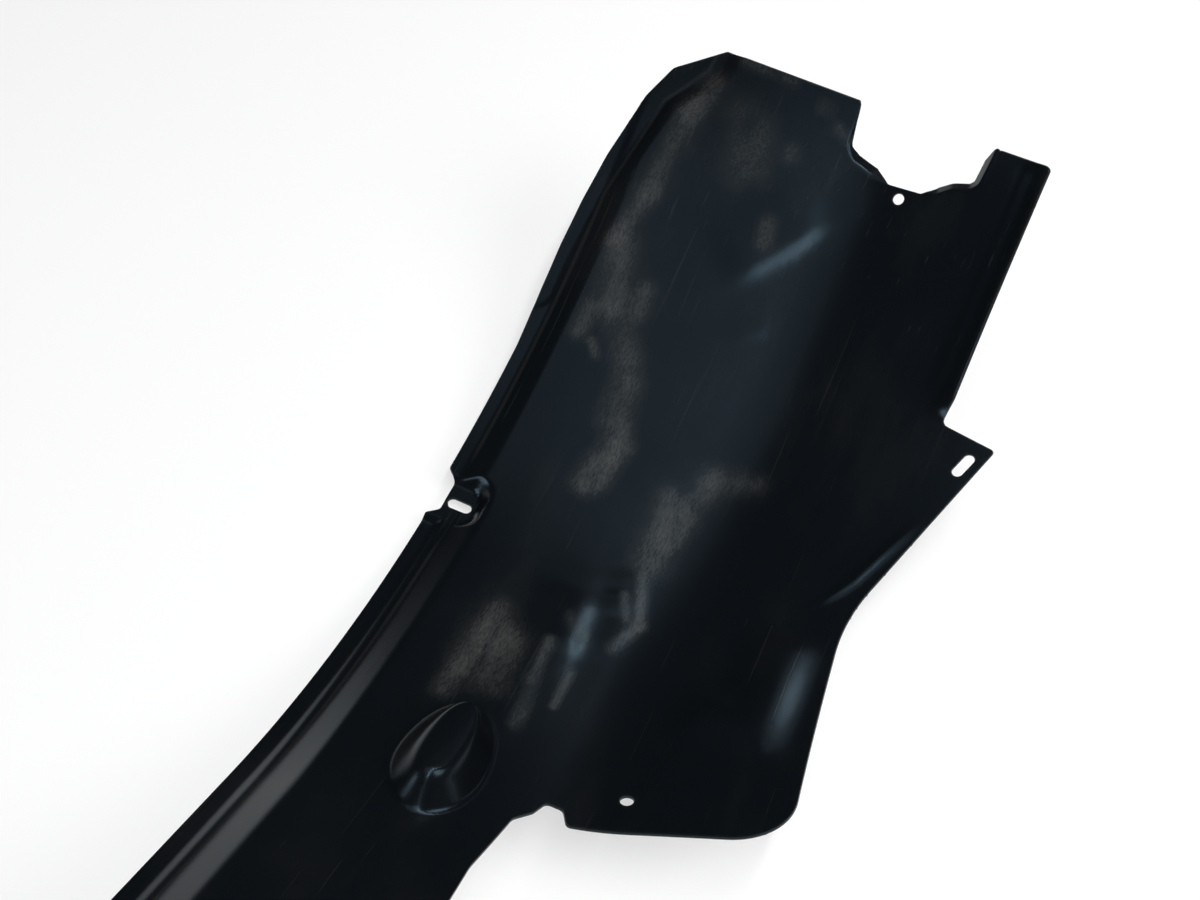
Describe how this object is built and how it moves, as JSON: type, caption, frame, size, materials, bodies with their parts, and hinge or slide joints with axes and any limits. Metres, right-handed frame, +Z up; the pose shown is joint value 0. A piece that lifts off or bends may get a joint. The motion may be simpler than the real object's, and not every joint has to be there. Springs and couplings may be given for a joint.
{
  "type": "wheel arch liner",
  "caption": "Curved black plastic liner for a wheel arch, with a dropped outer flange, a rising inner wall, a notch in its top edge and clip holes",
  "frame": {"origin": "centre of the liner's bounding box on the floor it lies on", "axes": "+X along the arch towards the top edge, +Y across towards the outer flange, +Z up towards the tyre side; it lies as it rests on a floor"},
  "size_m": [0.7876, 0.352, 0.1971],
  "materials": {
    "black_plastic": "fine-grained, satin"
  },
  "bodies": {
    "root": {"liner": "black_plastic"}
  },
  "joints": []
}
